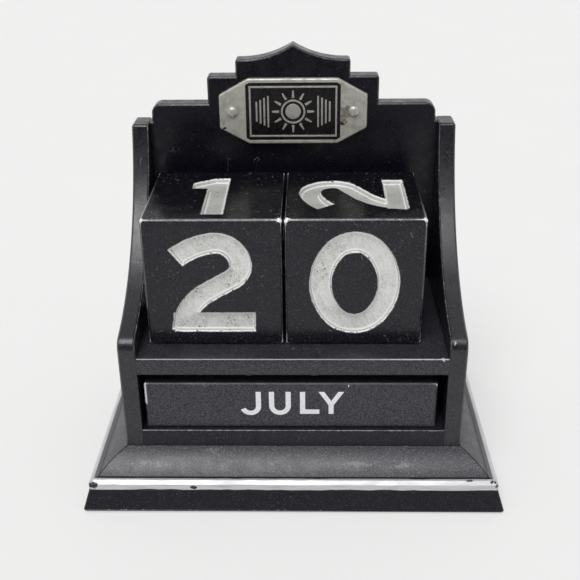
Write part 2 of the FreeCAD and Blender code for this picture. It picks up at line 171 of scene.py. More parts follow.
class Graph(Nodes):
    """A material's nodes, with coordinates in millimetres in the frame."""

    def __init__(self, name: str) -> None:
        """Starts an empty material.

        Args:
            name: the material's name.
        """
        self.material = bpy.data.materials.new(name)
        self.material.use_nodes = True
        super().__init__(self.material.node_tree)
        placed = self.add("ShaderNodeTexCoord").outputs["Object"]
        self.place = self.vector("SCALE", placed, scale=1 / MM)
        self.along = dict(zip(Axis, self.split(self.place)))

    def vector(self, operation: str, *values: Value, scale: float = 1.0) -> Socket:
        """One step of arithmetic on vectors.

        Args:
            operation: the kind of step.
            values: what it works on.
            scale: what SCALE multiplies by.

        Returns:
            The new vector or number.
        """
        node = self.add("ShaderNodeVectorMath", operation=operation)
        outputs = self.fed(node, *values)
        if operation == "SCALE":
            node.inputs["Scale"].default_value = scale
        is_number = operation in ("LENGTH", "DOT_PRODUCT")
        return outputs["Value" if is_number else "Vector"]

    def mix(self, share: Value, first: Value, second: Value) -> Socket:
        """A colour between two colours.

        Args:
            share: how much of the second colour there is.
            first: the colour at a share of 0.
            second: the colour at a share of 1.

        Returns:
            The mixed colour.
        """
        node = self.add("ShaderNodeMix", data_type="RGBA")
        for socket, value in zip((node.inputs[0], *node.inputs[6:8]), (share, first, second)):
            self.feed(socket, value)
        return node.outputs[2]

    def noise(self, size: float, detail: float = 2.0, seed: float = 0.0,
              stretch: Sequence[float] = (1, 1, 1), turn: float = 0.0) -> Socket:
        """Cloudy noise round 0.5.

        Args:
            size: the size of a cloud, in millimetres.
            detail: how many finer layers lie on it.
            seed: picks another pattern of the same kind.
            stretch: how much longer a cloud is along each axis.
            turn: turns the pattern about the viewing axis Y, in degrees.

        Returns:
            The noise's value.
        """
        where = self.place
        if turn:
            rotate = self.add("ShaderNodeVectorRotate", rotation_type="Y_AXIS")
            self.feed(rotate.inputs["Vector"], where)
            rotate.inputs["Angle"].default_value = math.radians(turn)
            where = rotate.outputs[0]
        where = self.vector("MULTIPLY", where, [1 / (size * share) for share in stretch])
        node = self.add("ShaderNodeTexNoise", noise_dimensions="4D")
        self.feed(node.inputs["Vector"], where)
        for name, value in (("W", seed), ("Scale", 1.0), ("Detail", detail)):
            node.inputs[name].default_value = value
        return node.outputs[0]

    def cells(self, feature: str, size: float, shift: Sequence[float]) -> Socket:
        """A pattern of random cells.

        Args:
            feature: F1 for the distance from a cell's middle, DISTANCE_TO_EDGE for that from its edge.
            size: a cell's size, in millimetres.
            shift: moves the pattern, in cells.

        Returns:
            The distance, in cells.
        """
        node = self.add("ShaderNodeTexVoronoi", feature=feature)
        where = self.vector("SCALE", self.place, scale=1 / size)
        self.feed(node.inputs["Vector"], self.vector("ADD", where, shift))
        node.inputs["Scale"].default_value = 1.0
        return node.outputs["Distance"]

    def hairlines(self, size: float, width: float, seed: float = 0.0) -> Socket:
        """Thin broken lines that wander across a surface.

        Args:
            size: the distance between lines, in millimetres.
            width: a line's width, in millimetres.
            seed: picks another pattern.

        Returns:
            1 on a line and 0 beside it.
        """
        line = self.ramp(self.cells("DISTANCE_TO_EDGE", size, (seed, 0, 0)), width / size, width / size / 2)
        gaps = self.ramp(self.noise(size / 3, seed=seed + 5), 0.56, 0.62)
        places = self.ramp(self.noise(size * 1.5, seed=seed + 9), 0.55, 0.62)
        return self.all_of(line, gaps, places)

    def specks(self, size: float, share: float, seed: float = 0.0) -> Socket:
        """Round specks of dust at a distance of size, each filling a share of it: 1 on a speck and 0 beside it."""
        reach = self.ramp(self.noise(size * 1.7, seed=seed), 0.42, 0.75, 0.0, share)
        return self.ramp(self.cells("F1", size, (0, 0, seed)), reach, self.all_of(reach, 0.4))

    def distance(self, fixed: dict[Axis, float]) -> Socket:
        """How far a point lies from a plane, a line or a point, in millimetres.

        Args:
            fixed: the coordinates that the plane, line or point holds.

        Returns:
            The distance.
        """
        total: Value = 0.0
        for axis, value in fixed.items():
            away = self.less(self.along[axis], value)
            total = self.math("MULTIPLY_ADD", away, away, total)
        return self.math("SQRT", total)

    def off_middle(self, axis: Axis, inside: float) -> Socket:
        """How far out along an axis a point lies beyond a distance from the middle."""
        return self.less(self.math("ABSOLUTE", self.along[axis]), inside)

    def facing_up(self, low: float, high: float, start: Value = 0.0, end: Value = 1.0) -> Socket:
        """A smooth step from start to end while the surface turns to face upwards."""
        upward = self.split(self.add("ShaderNodeTexCoord").outputs["Normal"])[Axis.Z.value]
        return self.ramp(upward, low, high, start, end)

    def bevelled(self, radius: float, samples: int) -> Socket:
        """The surface's normal with its edges softened.

        Args:
            radius: how far from an edge the softening starts, in millimetres.
            samples: how many rays look for edges.

        Returns:
            The normal.
        """
        node = self.add("ShaderNodeBevel", samples=samples)
        node.inputs["Radius"].default_value = radius * MM
        return node.outputs[0]

    def near_edge(self, reach: float) -> Socket:
        """A mask that rises from 0 at a reach in millimetres from edges and inner corners to 1 at them."""
        true = self.add("ShaderNodeNewGeometry").outputs["Normal"]
        return self.ramp(self.vector("DOT_PRODUCT", self.bevelled(reach, 8), true), 0.995, 0.9)

    def relief(self, height: Value, depth: float, edge: float) -> Socket:
        """A normal with softened edges and a bumpy surface.

        Args:
            height: the bump's height, from 0 to 1.
            depth: what a height of 1 stands for, in millimetres.
            edge: the radius that edges are softened to, in millimetres.

        Returns:
            The normal.
        """
        bump = self.add("ShaderNodeBump")
        for name, value in (("Strength", 1.0), ("Distance", depth * MM), ("Height", height),
                            ("Normal", self.bevelled(edge, 6))):
            self.feed(bump.inputs[name], value)
        return bump.outputs[0]

    def surface(self, **inputs: Value) -> bpy.types.Material:
        """Ends the material in one shader.

        Args:
            inputs: the shader's inputs by name, with underscores for spaces.

        Returns:
            The finished material.
        """
        shader = self.add("ShaderNodeBsdfPrincipled")
        for name, value in inputs.items():
            self.feed(shader.inputs[name.replace("_", " ")], value)
        output = self.add("ShaderNodeOutputMaterial")
        self.feed(output.inputs["Surface"], shader.outputs[0])
        return self.material


def tinted(colour: Colour, share: float) -> Colour:
    """A colour made lighter or darker by a share."""
    return tuple(part * share for part in colour)


@dataclass(frozen=True)
class Ridge:
    """A worn pale line where an edge has lost its paint."""

    fixed: tuple[tuple[Axis, float], ...]
    width: float = 0.22
    strength: float = 0.6
    limits: tuple[tuple[Axis, float, float], ...] = ()
    broken: float = 0.45

    def mask(self, graph: Graph) -> Socket:
        """How worn each point is.

        Args:
            graph: the material's nodes.

        Returns:
            A mask from 0 to the ridge's strength.
        """
        wobble = graph.noise(1.6, detail=3, seed=self.width)
        width = graph.ramp(wobble, self.broken, self.broken + 0.25, self.width * 0.25, self.width)
        shares = [graph.ramp(graph.distance(dict(self.fixed)), width, graph.all_of(width, 0.4)), self.strength]
        for axis, start, full in self.limits:
            shares.append(graph.ramp(graph.along[axis], start, full))
        return graph.all_of(*shares)


@dataclass(frozen=True)
class Blot:
    """A ragged spot: a chip, a smear or a crumb of dirt."""

    centre: Place
    radius: float
    stretch: Place = (1, 1, 1)
    ragged: float = 0.7

    def mask(self, graph: Graph) -> Socket:
        """How much of the spot covers each point.

        Args:
            graph: the material's nodes.

        Returns:
            A mask from 0 to 1.
        """
        away = graph.vector("SUBTRACT", graph.place, self.centre)
        away = graph.vector("DIVIDE", away, self.stretch)
        edge = graph.noise(self.radius * 0.8, detail=3, seed=self.radius)
        reach = graph.ramp(edge, 0.3, 0.7, self.radius * (1 - self.ragged), self.radius * (1 + self.ragged))
        return graph.ramp(graph.vector("LENGTH", away), reach, graph.all_of(reach, 0.8))


@dataclass(frozen=True)
class KnockedCorner:
    """A corner worn bare, with the wear tapering off along the edges that meet there."""

    corner: Place
    size: float = 1.0
    reach: float = 4.0

    def mask(self, graph: Graph) -> Socket:
        """How bare each point is.

        Args:
            graph: the material's nodes.

        Returns:
            A mask from 0 to 1.
        """
        x, y, z = graph.split(graph.vector("ABSOLUTE", graph.vector("SUBTRACT", graph.place, self.corner)))
        spread = graph.math("MULTIPLY_ADD", x, y, graph.math("MULTIPLY_ADD", y, z, graph.all_of(z, x)))
        ragged = graph.ramp(graph.noise(1.0, detail=3, seed=self.size), 0.3, 0.7, 0.8 * self.size, 1.3 * self.size)
        bare = graph.ramp(spread, ragged, graph.all_of(ragged, 0.7))
        return graph.all_of(bare, graph.ramp(graph.any_of(x, y, z), self.reach, self.reach * 0.5))


Mark = Union[Ridge, Blot, KnockedCorner]


@dataclass(frozen=True)
class BlackPaint:
    """Old satin black paint, with grain, dust, scratches and edges worn pale; the dust is heavier on upward faces,
    partly as a painted sheen, and upward faces can also get a painted shade.
    """

    name: str
    colour: Colour = (0.008, 0.008, 0.0115)
    specular: float = 0.5
    roughness: float = 0.36
    dust: float = 0.22
    top_dust_and_sheen: float = 0.35
    speckle: float = 0.45
    speck_gap: float = 2.1
    scratch: float = 0.3
    contrast: float = 3.4
    top_painted_shade: float = 1.0
    grain: float = 0.02
    edge: float = 0.35
    patchiness: float = 1.0
    marks: tuple[Mark, ...] = ()
    smears: tuple[Blot, ...] = ()
    worn_colour: Colour = (0.52, 0.52, 0.54)
    dust_and_sheen_colour: Colour = (0.27, 0.27, 0.28)

    def dirt(self, graph: Graph) -> Socket:
        """Dust, specks and hairline scratches; the dust is heavier on upward faces, partly a painted sheen there.

        Args:
            graph: the material's nodes.

        Returns:
            A mask from 0 to 1.
        """
        patches = graph.ramp(graph.noise(9.0, detail=3, seed=1), 0.38, 0.66, 1 - 0.6 * self.patchiness, 1.0)
        # Upward faces get more pale dust: partly real dust, partly a painted sheen where they catch the light.
        upward = graph.facing_up(0.55, 0.95, self.dust, self.top_dust_and_sheen)
        settled = graph.facing_up(0.55, 0.95, 0.4 * self.speckle, self.speckle)
        fine = graph.all_of(graph.ramp(graph.noise(0.75, detail=2, seed=2), 0.58, 0.7), patches, upward)
        lying = graph.all_of(graph.specks(self.speck_gap, 0.4 / self.speck_gap, seed=3), patches, settled)
        lines = graph.all_of(graph.hairlines(11.0, 0.09, seed=4), self.scratch)
        return graph.any_of(fine, lying, lines)

    def wear(self, graph: Graph) -> Socket:
        """The share of bare pale edge at each point."""
        return graph.any_of(0.0, *[mark.mask(graph) for mark in self.marks])

    def coat(self, graph: Graph) -> dict[str, Value]:
        """The shader's inputs for the paint.

        Args:
            graph: the material's nodes.

        Returns:
            The inputs by name.
        """
        grain = graph.noise(0.34, detail=1, seed=7)
        deep, light, top = (tinted(self.colour, share) for share in (1 / self.contrast, self.contrast, self.top_painted_shade))
        dark = graph.mix(graph.ramp(grain, 0.34, 0.7), deep, light)
        # Upward faces can get a darker copy of the black: a painted shade on the tops.
        if self.top_painted_shade < 1:
            dark = graph.mix(graph.facing_up(0.8, 0.99), dark, top)
        shade = graph.mix(self.dirt(graph), dark, self.dust_and_sheen_colour)
        if self.smears:
            smeared = graph.any_of(*[smear.mask(graph) for smear in self.smears])
            shade = graph.mix(graph.all_of(smeared, 0.35), shade, self.dust_and_sheen_colour)
        shade = graph.mix(self.wear(graph), shade, self.worn_colour)
        cloud = graph.noise(4.0, detail=3, seed=8)
        return {
            "Base_Color": shade,
            "Roughness": graph.ramp(cloud, 0.25, 0.75, self.roughness - 0.07 * self.patchiness,
                                    self.roughness + 0.1 * self.patchiness),
            "Specular_IOR_Level": self.specular,
            "Normal": graph.relief(grain, self.grain, self.edge),
        }

    def material(self) -> bpy.types.Material:
        """The finished material."""
        graph = Graph(self.name)
        return graph.surface(**self.coat(graph))


@dataclass(frozen=True)
class BlockPaint(BlackPaint):
    """Black paint on a loose block: pale worn edges and corners with a painted highlight along the upper front edges,
    and silver in its sunk numerals with painted shade on their walls and painted highlights at their rims.
    """

    centre: Place = (0.0, 0.0, 0.0)
    half: Place = (22.0, 22.0, 22.0)
    bevel: float = 0.75
    line: float = 0.17
    line_strength: float = 0.8
    corner_reach: float = 7.0
    sunk: bool = False
    silver: Colour = (0.97, 0.97, 0.965)
    stain: Colour = (0.45, 0.455, 0.42)
    clean_reach: float = 1.6
    spill: float = 0.5
    rim_highlight_colour: Colour = (1.0, 1.0, 1.0)
    pit: Colour = (0.10, 0.10, 0.09)
    lip: float = 0.35
    lip_reach: float = 0.8
    wall_low: float = 1.2
    silver_metallic: float = 0.2
    silver_roughness: float = 0.42

    def depths(self, graph: Graph) -> tuple[Socket, Socket, Socket]:
        """How far a point lies in from the block's faces.

        Args:
            graph: the material's nodes.

        Returns:
            The depths from the nearest, the next and the last pair of faces.
        """
        away = graph.vector("ABSOLUTE", graph.vector("SUBTRACT", graph.place, self.centre))
        x, y, z = graph.split(graph.vector("SUBTRACT", self.half, away))
        first = graph.math("MINIMUM", graph.math("MINIMUM", x, y), z)
        last = graph.any_of(x, y, z)
        total = graph.math("ADD", graph.math("ADD", x, y), z)
        return first, graph.less(graph.less(total, first), last), last

    def wear(self, graph: Graph) -> Socket:
        """Bare edges: a thin line along each one, wider and brighter near the corners, and brighter along the upper
        front edges as a painted highlight.

        Args:
            graph: the material's nodes.

        Returns:
            A mask from 0 to 1.
        """
        first, second, last = self.depths(graph)
        on_edge = graph.ramp(second, self.bevel + 0.25, self.bevel - 0.1)
        near_corner = graph.ramp(last, self.corner_reach, 0.6)
        wobble = graph.ramp(graph.noise(1.1, detail=3, seed=11), 0.3, 0.6, 0.3, 1.0)
        width = graph.all_of(wobble, self.line)
        for share, extra in ((near_corner, self.line), (graph.ramp(last, 1.7, 0.5), 0.75)):
            width = graph.math("ADD", width, graph.all_of(share, wobble, extra))
        line = graph.ramp(graph.less(second, first), width, graph.all_of(width, 0.35))
        faint = graph.ramp(graph.noise(6.0, detail=2, seed=12), 0.35, 0.65, 0.2, 0.75)
        # The edge line is strongest on the upper front edges: partly wear, partly a painted highlight where those
        # edges catch the light.
        upper = graph.ramp(graph.along[Axis.Z], self.centre[2], self.centre[2] + self.half[2])
        front = graph.ramp(graph.along[Axis.Y], self.centre[1], self.centre[1] - self.half[1])
        strength = graph.ramp(graph.all_of(upper, front), 0, 1, 0.35, 0.9)
        wear_and_highlight = graph.any_of(graph.all_of(faint, strength), near_corner)
        return graph.any_of(graph.all_of(on_edge, line, wear_and_highlight, self.line_strength), super().wear(graph))

    def coat(self, graph: Graph) -> dict[str, Value]:
        """The paint's inputs, with silver wherever the surface is sunk.

        Args:
            graph: the material's nodes.

        Returns:
            The shader's inputs by name.
        """
        inputs = super().coat(graph)
        if not self.sunk:
            return inputs
        first, second, _ = self.depths(graph)
        off_edge = graph.ramp(second, 1.4, 1.6)
        rim = graph.ramp(graph.noise(1.3, detail=3, seed=21), 0.5, 0.72, 0.03, 0.55)
        filled = graph.all_of(graph.ramp(first, rim, graph.math("ADD", rim, 0.08)), off_edge)
        spilt = graph.all_of(graph.near_edge(self.spill), off_edge,
                             graph.ramp(graph.noise(2.2, detail=3, seed=25), 0.36, 0.6, 0.1, 1.0))
        silvered = graph.any_of(filled, spilt)
        # Near-white lip: the silver paint at each pocket's lip, plus a painted highlight on the rounded paint edges
        # and inner corners.
        lip = graph.any_of(graph.ramp(first, self.lip + 0.25, self.lip), spilt, graph.near_edge(self.lip_reach))
        shade = graph.mix(graph.all_of(lip, 0.9), self.silver_shade(graph, first), self.rim_highlight_colour)
        inputs["Base_Color"] = graph.mix(silvered, inputs["Base_Color"], shade)
        inputs["Metallic"] = graph.all_of(silvered, graph.ramp(lip, 0.0, 1.0, self.silver_metallic, 0.0))
        inputs["Roughness"] = graph.mix(silvered, inputs["Roughness"], [self.silver_roughness] * 3)
        return inputs

    def silver_shade(self, graph: Graph, depth: Socket) -> Socket:
        """The silver's colour: hazy and spotted in the middle of a stroke, clean beside its walls, and darker on the
        walls as a painted shade.

        Args:
            graph: the material's nodes.
            depth: how far a point lies in from the cube's face.

        Returns:
            The colour.
        """
        cloud = graph.noise(8.0, detail=3, seed=22)
        fine = graph.math("ADD", graph.noise(1.1, detail=5, seed=23), graph.facing_up(0.6, 0.95, 0.0, 0.2))
        brushed = graph.noise(0.8, detail=3, seed=23, stretch=(1, 1, 5), turn=24)
        middle = graph.ramp(graph.near_edge(self.clean_reach), 0.0, 1.0, 1.0, 0.0)
        stained = graph.all_of(graph.ramp(cloud, 0.42, 0.62, 0.15, 0.5), graph.ramp(fine, 0.32, 0.7),
                               graph.ramp(middle, 0.0, 1.0, 0.2, 1.0))
        haze = graph.all_of(middle, graph.facing_up(0.6, 0.95, 0.18, 0.7))
        grit = graph.all_of(graph.ramp(graph.noise(0.3, detail=2, seed=26), 0.4, 0.7, 0.0, 0.55), middle)
        spots = graph.all_of(graph.ramp(graph.noise(0.6, detail=3, seed=27), 0.54, 0.68),
                             graph.ramp(cloud, 0.47, 0.6), middle, 0.6)
        streaks = graph.all_of(graph.ramp(brushed, 0.45, 0.75, 0.0, 0.4), middle)
        pits = graph.all_of(graph.specks(0.9, 0.65, seed=24), graph.ramp(cloud, 0.49, 0.57))
        # The pocket walls are mixed towards the stain colour: a painted shade in the recess.
        wall_shade = graph.ramp(depth, self.wall_low, self.wall_low + 0.2, 0.45, 0.0)
        shade = self.silver
        for share, colour in ((haze, self.stain), (stained, self.stain), (grit, self.stain), (spots, self.pit),
                              (streaks, self.stain), (pits, self.pit), (wall_shade, self.stain)):
            shade = graph.mix(share, shade, colour)
        return shade


@dataclass(frozen=True)
class SilverPaint:
    """Brushed-on silver paint with a ragged black border above and below, and at the sides black lightened to grey,
    partly dust and partly a painted sheen.
    """

    name: str
    lower: float
    upper: float
    inner_x: float
    inner_y: float
    chips: tuple[Blot, ...] = ()
    colour: Colour = (0.66, 0.66, 0.68)
    shade: Colour = (0.55, 0.55, 0.57)
    black: Colour = (0.012, 0.012, 0.013)
    side_border: float = 1.15
    dust_and_sheen_grey: Colour = (0.14, 0.14, 0.15)

    def material(self) -> bpy.types.Material:
        """Builds the finish.

        Returns:
            The finished material.
        """
        graph = Graph(self.name)
        height = graph.along[Axis.Z]
        wobble = graph.noise(7.0, detail=4, seed=31)
        low_edge = graph.ramp(wobble, 0.3, 0.75, 0.1, 0.5)
        below = graph.ramp(height, graph.math("ADD", low_edge, self.lower + 0.08),
                           graph.math("ADD", low_edge, self.lower))
        aside = graph.off_middle(Axis.X, self.inner_x)
        ahead = graph.off_middle(Axis.Y, self.inner_y)
        border = graph.ramp(wobble, 0.35, 0.7, 0.65, 1.05)
        above = graph.all_of(graph.ramp(graph.any_of(aside, ahead), border, graph.less(border, 0.12)),
                             graph.ramp(height, self.upper - 0.3, self.upper - 0.1),
                             graph.ramp(ahead, -0.3, 0.0))
        # The bead's top beside the moulding is painted grey: partly dust, partly a painted sheen like the moulding's
        # slope.
        beside = graph.all_of(graph.ramp(aside, self.side_border + 0.1, self.side_border),
                              graph.ramp(ahead, 0.9, 0.7),
                              graph.ramp(height, self.upper - 1.2, self.upper - 1.1))
        flecks = graph.all_of(graph.specks(5.3, 0.1, seed=32), 0.6)
        covered = graph.any_of(below, above, flecks, *[chip.mask(graph) for chip in self.chips])
        streaks = graph.noise(0.9, detail=3, seed=33, stretch=(9, 9, 1))
        silver = graph.mix(graph.ramp(streaks, 0.4, 0.7), self.colour, self.shade)
        bare = graph.less(1.0, graph.any_of(covered, beside))
        return graph.surface(
            Base_Color=graph.mix(covered, graph.mix(beside, silver, self.dust_and_sheen_grey), self.black),
            Metallic=graph.all_of(bare, 0.45),
            Roughness=graph.ramp(streaks, 0.3, 0.7, 0.34, 0.48),
            Normal=graph.relief(streaks, 0.02, 0.3),
        )


@dataclass(frozen=True)
class CastMetal:
    """Dull cast metal, a little yellow, with dark flecks and dirt."""

    name: str
    colour: Colour = (0.64, 0.625, 0.575)
    tarnish: Colour = (0.34, 0.325, 0.27)
    fleck: Colour = (0.03, 0.025, 0.02)
    roughness: float = 0.45
    metallic: float = 0.5
    dirt: tuple[Blot, ...] = ()
    dirt_colour: Colour = (0.022, 0.016, 0.010)
    stains: tuple[Blot, ...] = ()
    stain_colour: Colour = (0.20, 0.165, 0.115)

    def material(self) -> bpy.types.Material:
        """Builds the finish.

        Returns:
            The finished material.
        """
        graph = Graph(self.name)
        cloud = graph.noise(3.2, detail=4, seed=41)
        fine = graph.noise(0.4, detail=3, seed=42)
        shade = graph.mix(graph.ramp(cloud, 0.42, 0.72, 0, 0.7), self.colour, self.tarnish)
        shade = graph.mix(graph.ramp(fine, 0.5, 0.8, 0, 0.45), shade, self.tarnish)
        flecks = graph.specks(1.9, 0.22, seed=43)
        shade = graph.mix(flecks, shade, self.fleck)
        stained, dirty = [graph.any_of(0.0, *[blot.mask(graph) for blot in blots])
                          for blots in (self.stains, self.dirt)]
        shade = graph.mix(graph.all_of(stained, graph.ramp(fine, 0.35, 0.6, 0.35, 0.85)), shade, self.stain_colour)
        shade = graph.mix(dirty, shade, self.dirt_colour)
        return graph.surface(
            Base_Color=shade,
            Metallic=graph.ramp(flecks, 0, 1, self.metallic, 0.0),
            Roughness=graph.ramp(cloud, 0.3, 0.7, self.roughness - 0.08, self.roughness + 0.12),
            Normal=graph.relief(fine, 0.03, 0.18),
        )


@dataclass(frozen=True)
class PlainCoat:
    """A quiet finish of two mixed shades with a soft grain: print, enamel, felt, steel, dust or fibre."""

    name: str
    colour: Colour
    other: Colour
    size: float = 1.0
    roughness: float = 0.5
    metallic: float = 0.0
    bump: float = 0.01
    edge: float = 0.1
    sheen: float = 0.0

    def material(self) -> bpy.types.Material:
        """Builds the finish.

        Returns:
            The finished material.
        """
        graph = Graph(self.name)
        cloud = graph.noise(self.size, detail=4, seed=51)
        return graph.surface(
            Base_Color=graph.mix(graph.ramp(cloud, 0.35, 0.7), self.colour, self.other),
            Metallic=self.metallic,
            Roughness=graph.ramp(cloud, 0.3, 0.7, self.roughness - 0.05, self.roughness + 0.08),
            Sheen_Weight=self.sheen,
            Normal=graph.relief(cloud, self.bump, self.edge),
        )


class Shape:
    """A mesh in the making, in millimetres in the frame's axes, from closed bands, plates, domes and tubes."""

    def __init__(self, placed: Callable[[float, float, float], Vector]) -> None:
        """Starts an empty shape, whose flat points and their heights are turned into points of the frame."""
        self.mesh = bmesh.new()
        self.placed = placed

    def corner(self, point: Point, height: float) -> bmesh.types.BMVert:
        """One corner of the mesh."""
        return self.mesh.verts.new(self.placed(point[0], point[1], height) * MM)

    def band(self, left: Sequence[Point], right: Sequence[Point], low: float, high: float,
             closed: bool = False) -> None:
        """Adds a flat closed strip between two lines of points.

        Args:
            left: the points along one side.
            right: the points along the other side, in the same order.
            low: the height of the strip's underside.
            high: the height of its face.
            closed: whether the strip joins up with its own start.
        """
        rows = [[self.corner(a, high), self.corner(b, high), self.corner(b, low), self.corner(a, low)]
                for a, b in zip(left, right)]
        self.wrap(rows + rows[:1] if closed else rows)
        if not closed:
            self.mesh.faces.new(rows[0][::-1])
            self.mesh.faces.new(rows[-1])

    def wrap(self, rings: Sequence[Sequence[bmesh.types.BMVert]]) -> None:
        """Joins each ring of corners to the next one by a belt of faces.

        Args:
            rings: rings with equal numbers of corners, in order.
        """
        for before, after in zip(rings, rings[1:]):
            for k in range(len(before)):
                ahead = (k + 1) % len(before)
                self.mesh.faces.new([before[k], before[ahead], after[ahead], after[k]])

    def plate(self, points: Sequence[Point], low: float, high: float) -> None:
        """Adds a flat closed plate with straight sides.

        Args:
            points: its corners, in order.
            low: the height of its underside.
            high: the height of its face.
        """
        top = [self.corner(point, high) for point in points]
        foot = [self.corner(point, low) for point in points]
        self.mesh.faces.new(top)
        self.mesh.faces.new(foot[::-1])
        for k in range(len(points)):
            after = (k + 1) % len(points)
            self.mesh.faces.new([top[k], foot[k], foot[after], top[after]])

    def dome(self, centre: Point, profile: Sequence[Point], around: int) -> None:
        """Adds a turned closed body.

        Args:
            centre: the middle of the body.
            profile: radius and height from the foot's rim up to the tip, which is the last point.
            around: how many sides the body has.
        """
        angles = [2 * math.pi * k / around for k in range(around)]
        rings = [[self.corner((centre[0] + radius * math.cos(a), centre[1] + radius * math.sin(a)), height)
                  for a in angles] for radius, height in profile[:-1]]
        tip = self.corner(centre, profile[-1][1])
        self.wrap(rings)
        for k in range(around):
            self.mesh.faces.new([rings[-1][k], rings[-1][(k + 1) % around], tip])
        self.mesh.faces.new(rings[0][::-1])

    def tube(self, route: Sequence[Place], radius: float, sides: int) -> None:
        """Adds a closed tube.

        Args:
            route: the points that its middle line follows.
            radius: its radius.
            sides: how many sides it has.
        """
        points = [Vector(point) for point in route]
        rings = []
        for index, point in enumerate(points):
            ahead = points[min(index + 1, len(points) - 1)] - points[max(index - 1, 0)]
            across = ahead.orthogonal().normalized()
            up = ahead.cross(across).normalized()
            ring = [point + (across * math.cos(a) + up * math.sin(a)) * radius
                    for a in [2 * math.pi * k / sides for k in range(sides)]]
            rings.append([self.corner(spot.xy, spot.z) for spot in ring])
        self.wrap(rings)
        self.mesh.faces.new(rings[0][::-1])
        self.mesh.faces.new(rings[-1])

    def piece(self, name: str, material: bpy.types.Material, body: Body,
              smooth: bool = False) -> bpy.types.Object:
        """Turns the shape into a piece that rides on a body.

        Args:
            name: the piece's name.
            material: its finish.
            body: the body that carries it.
            smooth: whether its faces are shaded as one curved surface.

        Returns:
            The piece.
        """
        bmesh.ops.recalc_face_normals(self.mesh, faces=self.mesh.faces)
        for face in self.mesh.faces:
            face.smooth = smooth
        data = bpy.data.meshes.new(name)
        self.mesh.to_mesh(data)
        self.mesh.free()
        data.materials.append(material)
        made = bpy.data.objects.new(name, data)
        bpy.context.scene.collection.objects.link(made)
        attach(made, body.value)
        log.info("made %s: %d faces", name, len(data.polygons))
        return made


def dome_curve(radius: float, low: float, high: float, steps: int) -> list[Point]:
    """A dome's outline, as radius and height, in steps from above its rim at low up to its tip at high."""
    turns = [math.pi / 2 * k / steps for k in range(1, steps)]
    return [(radius * math.cos(turn), low + (high - low) * math.sin(turn)) for turn in turns] + [(0, high)]


def as_given(x: float, y: float, z: float) -> Vector:
    """A point of the frame from its own coordinates."""
    return Vector((x, y, z))


def dress(node: str, material: bpy.types.Material) -> None:
    """Gives a CAD node its finish.

    Args:
        node: the node's name.
        material: the finish.
    """
    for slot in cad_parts[node].material_slots:
        slot.material = material
    log.info("dressed %s", node)


